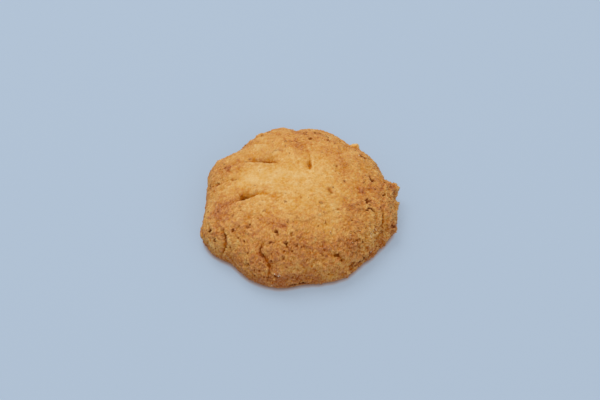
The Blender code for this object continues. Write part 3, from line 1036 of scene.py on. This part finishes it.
def crumb_material(colour, brown):
    """Loose shortbread crumbs: the same dry dough as the crust, matt, each baked differently."""
    material, tree, shader = new_material("shortbread_crumb")
    add = partial(add_node, tree)
    place = add("ShaderNodeTexCoord", output="Object")
    tint, toast = (
        add("ShaderNodeAttribute", output="Fac", attribute_name=name) for name in ("tint", "toast")
    )
    grain = add("ShaderNodeTexNoise", {"Vector": place, "Scale": 1 / (0.3 * MM), "Detail": 2.0})
    total = weighted_sum(tree, -0.55, ((toast, 0.9), (tint, 0.35), (grain, 0.9)))
    total = add("ShaderNodeClamp", {"Value": total})
    shades = {0: total, 6: (*colour, 1.0), 7: (*brown, 1.0)}
    bump = add("ShaderNodeBump", {"Strength": 1.0, "Distance": 0.12 * MM, "Height": grain})
    set_inputs(
        tree,
        shader,
        {
            "Base Color": add("ShaderNodeMix", shades, output=2, data_type="RGBA"),
            "Roughness": 0.75,
            "IOR": 1.45,
            "Specular IOR Level": 0.35,
            "Normal": bump,
        },
    )
    return material


def sugar_material(colour):
    """White sugar crystals: clear sucrose with flat, glossy faces, dulled by baking."""
    material, tree, shader = new_material("sugar_crystal")
    add = partial(add_node, tree)
    place = add("ShaderNodeTexCoord", output="Object")
    etched = add("ShaderNodeTexNoise", {"Vector": place, "Scale": 1 / (0.2 * MM), "Detail": 1.0})
    rough = add("ShaderNodeMapRange", {"Value": etched, "To Min": 0.08, "To Max": 0.3})
    set_inputs(
        tree,
        shader,
        {"Base Color": (*colour, 1.0), "Roughness": rough, "IOR": 1.54, "Transmission Weight": 0.1},
    )
    return material


def lit_panel_material(colour, shadow_warmth_colour):
    """Opal acrylic light panel: matt, even, and lit a little from below, so shadows stay faint.

    Its glow fades and turns warm in the last millimetre before the biscuit, which rests on it.
    This is a painted contact shadow with painted warm light from the crust.
    """
    material, tree, shader = new_material("opal_light_panel")
    add = partial(add_node, tree)
    # Painted contact shadow: the glow fades where the biscuit covers the panel, and its colour turns to a
    # painted warm light
    covered = add("ShaderNodeAmbientOcclusion", {"Distance": CONTACT_SHADE}, output="AO", samples=8)
    clear = add("ShaderNodeMapRange", {"Value": covered, "From Min": 0.3, "From Max": 0.9})
    shades = {0: clear, 6: (*shadow_warmth_colour, 1.0), 7: (*colour, 1.0)}
    glow = add("ShaderNodeMapRange", {"Value": clear, "To Min": 0.15, "To Max": 1 - GLOW_LEFT})
    set_inputs(
        tree,
        shader,
        {
            "Base Color": (*(GLOW_LEFT * value for value in colour), 1.0),
            "Roughness": 0.95,
            "Specular IOR Level": 0.1,
            "Emission Color": add("ShaderNodeMix", shades, output=2, data_type="RGBA"),
            "Emission Strength": glow,
        },
    )
    return material


# ---------------------------------------------------------------- operators


def finished_piece(name, mesh):
    """Link a finished mesh as a piece that rides on the biscuit's body."""
    piece = bpy.data.objects.new(name, mesh)
    bpy.context.scene.collection.objects.link(piece)
    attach(piece, BODY)
    return piece


class BISCUIT_OT_crust(bpy.types.Operator):
    """Build the biscuit's body: its lobed dome, furrows, pits and crumb."""

    bl_idname = "biscuit.crust"
    bl_label = "Crust"

    def execute(self, context):
        shape = context.scene.biscuit_shape
        material = baked_crust_material(context.scene.biscuit_look)
        mesh = run_geometry_tree(
            "shortbread_crust",
            build_crust_mesh(shape),
            relief_tree(material),
            {label: getattr(shape, label.lower().replace(" ", "_")) for label in RELIEF_SIZES},
        )
        piece = finished_piece("shortbread_crust", mesh)
        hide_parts(NODE)
        return {"FINISHED"}


def scattered_piece(name, material, where, per_square_centimetre, size, sink, seed, faceted):
    """One piece of many small lumps, sunk in the finished crust by a share of their width."""
    crust = bpy.data.objects["shortbread_crust"].data.copy()
    mesh = run_geometry_tree(
        name,
        crust,
        scatter_tree(name + "_scatter", material, where, faceted),
        {
            "Per Square Metre": per_square_centimetre / (10 * MM) ** 2,
            "Size": size,
            "Sink": sink,
            "Seed": seed,
        },
    )
    bpy.data.meshes.remove(crust)
    return finished_piece(name, mesh)


class BISCUIT_OT_crumbs(bpy.types.Operator):
    """Scatter the crumbs that stand out of the rough crust."""

    bl_idname = "biscuit.crumbs"
    bl_label = "Crumbs"

    def execute(self, context):
        grains = context.scene.biscuit_grains
        material = crumb_material(grains.crumb, context.scene.biscuit_look.deep)
        scattered_piece(
            "crust_crumbs",
            material,
            "crumbly",
            grains.crumbs,
            size=grains.crumb_size,
            sink=0.15,
            seed=CRUMB_SEED,
            faceted=False,
        )
        return {"FINISHED"}


class BISCUIT_OT_sugar(bpy.types.Operator):
    """Scatter the sugar crystals that show on the crust."""

    bl_idname = "biscuit.sugar"
    bl_label = "Sugar"

    def execute(self, context):
        grains = context.scene.biscuit_grains
        material = sugar_material(grains.sugar_colour)
        scattered_piece(
            "sugar_crystals",
            material,
            "sugary",
            grains.sugar,
            size=grains.sugar_size,
            sink=0.1,
            seed=SUGAR_SEED,
            faceted=True,
        )
        return {"FINISHED"}


class BISCUIT_OT_stage(bpy.types.Operator):
    """Lay the floor, hang the soft light and set the camera."""

    bl_idname = "biscuit.stage"
    bl_label = "Stage"

    def execute(self, context):
        settings = context.scene.biscuit_stage
        bpy.ops.mesh.primitive_plane_add(size=FLOOR_SIDE)
        floor = context.active_object
        floor.name = "floor"
        floor.data.materials.append(lit_panel_material(settings.floor, settings.contact_shadow_warmth))

        world = bpy.data.worlds.new("room")
        world.use_nodes = True
        background = world.node_tree.nodes["Background"]
        set_inputs(world.node_tree, background, {"Color": (1, 1, 1, 1), "Strength": settings.sky})
        context.scene.world = world

        for power, (name, side, place) in ((settings.key_power, KEY), (settings.fill_power, FILL)):
            lamp = bpy.data.lights.new(name, "AREA")
            lamp.energy = power
            lamp.size = side
            softbox = bpy.data.objects.new(name, lamp)
            softbox.location = place
            softbox.rotation_euler = (-softbox.location).to_track_quat("-Z", "Y").to_euler()
            context.scene.collection.objects.link(softbox)

        camera_data = bpy.data.cameras.new("camera")
        camera_data.lens = LENS
        camera = bpy.data.objects.new("camera", camera_data)
        back = Vector((0, -math.cos(settings.elevation), math.sin(settings.elevation)))
        up = Vector((0, math.sin(settings.elevation), math.cos(settings.elevation)))
        aim = Vector(AIM) + up * AIM_RAISE * MM
        camera.location = aim + back * settings.distance
        camera.rotation_euler = (-back).to_track_quat("-Z", "Y").to_euler()
        context.scene.collection.objects.link(camera)
        context.scene.camera = camera
        context.scene.view_settings.view_transform = "Standard"
        return {"FINISHED"}


class BISCUIT_PT_panel(bpy.types.Panel):
    """The biscuit's settings and steps."""

    bl_label = "Shortbread Biscuit"
    bl_space_type = "VIEW_3D"
    bl_region_type = "UI"
    bl_category = "Biscuit"

    def draw(self, context):
        for group in SETTINGS:
            settings = getattr(context.scene, group)
            box = self.layout.box()
            for name in settings.bl_rna.properties.keys():
                if name not in ("rna_type", "name"):
                    box.prop(settings, name)
        for step in STEPS:
            self.layout.operator(step.bl_idname)


SETTINGS = {
    "biscuit_shape": BiscuitShape,
    "biscuit_look": CrustLook,
    "biscuit_grains": LooseGrains,
    "biscuit_stage": StageSettings,
}
STEPS = (BISCUIT_OT_crust, BISCUIT_OT_crumbs, BISCUIT_OT_sugar, BISCUIT_OT_stage)


def register():
    for kind in (*SETTINGS.values(), *STEPS, BISCUIT_PT_panel):
        bpy.utils.register_class(kind)
    for name, kind in SETTINGS.items():
        setattr(bpy.types.Scene, name, PointerProperty(type=kind))


def unregister():
    for name in SETTINGS:
        delattr(bpy.types.Scene, name)
    for kind in reversed((*SETTINGS.values(), *STEPS, BISCUIT_PT_panel)):
        bpy.utils.unregister_class(kind)


def main():
    register()
    bpy.ops.biscuit.crust()
    bpy.ops.biscuit.crumbs()
    bpy.ops.biscuit.sugar()
    bpy.ops.biscuit.stage()
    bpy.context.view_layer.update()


if __name__ == "__main__":
    main()
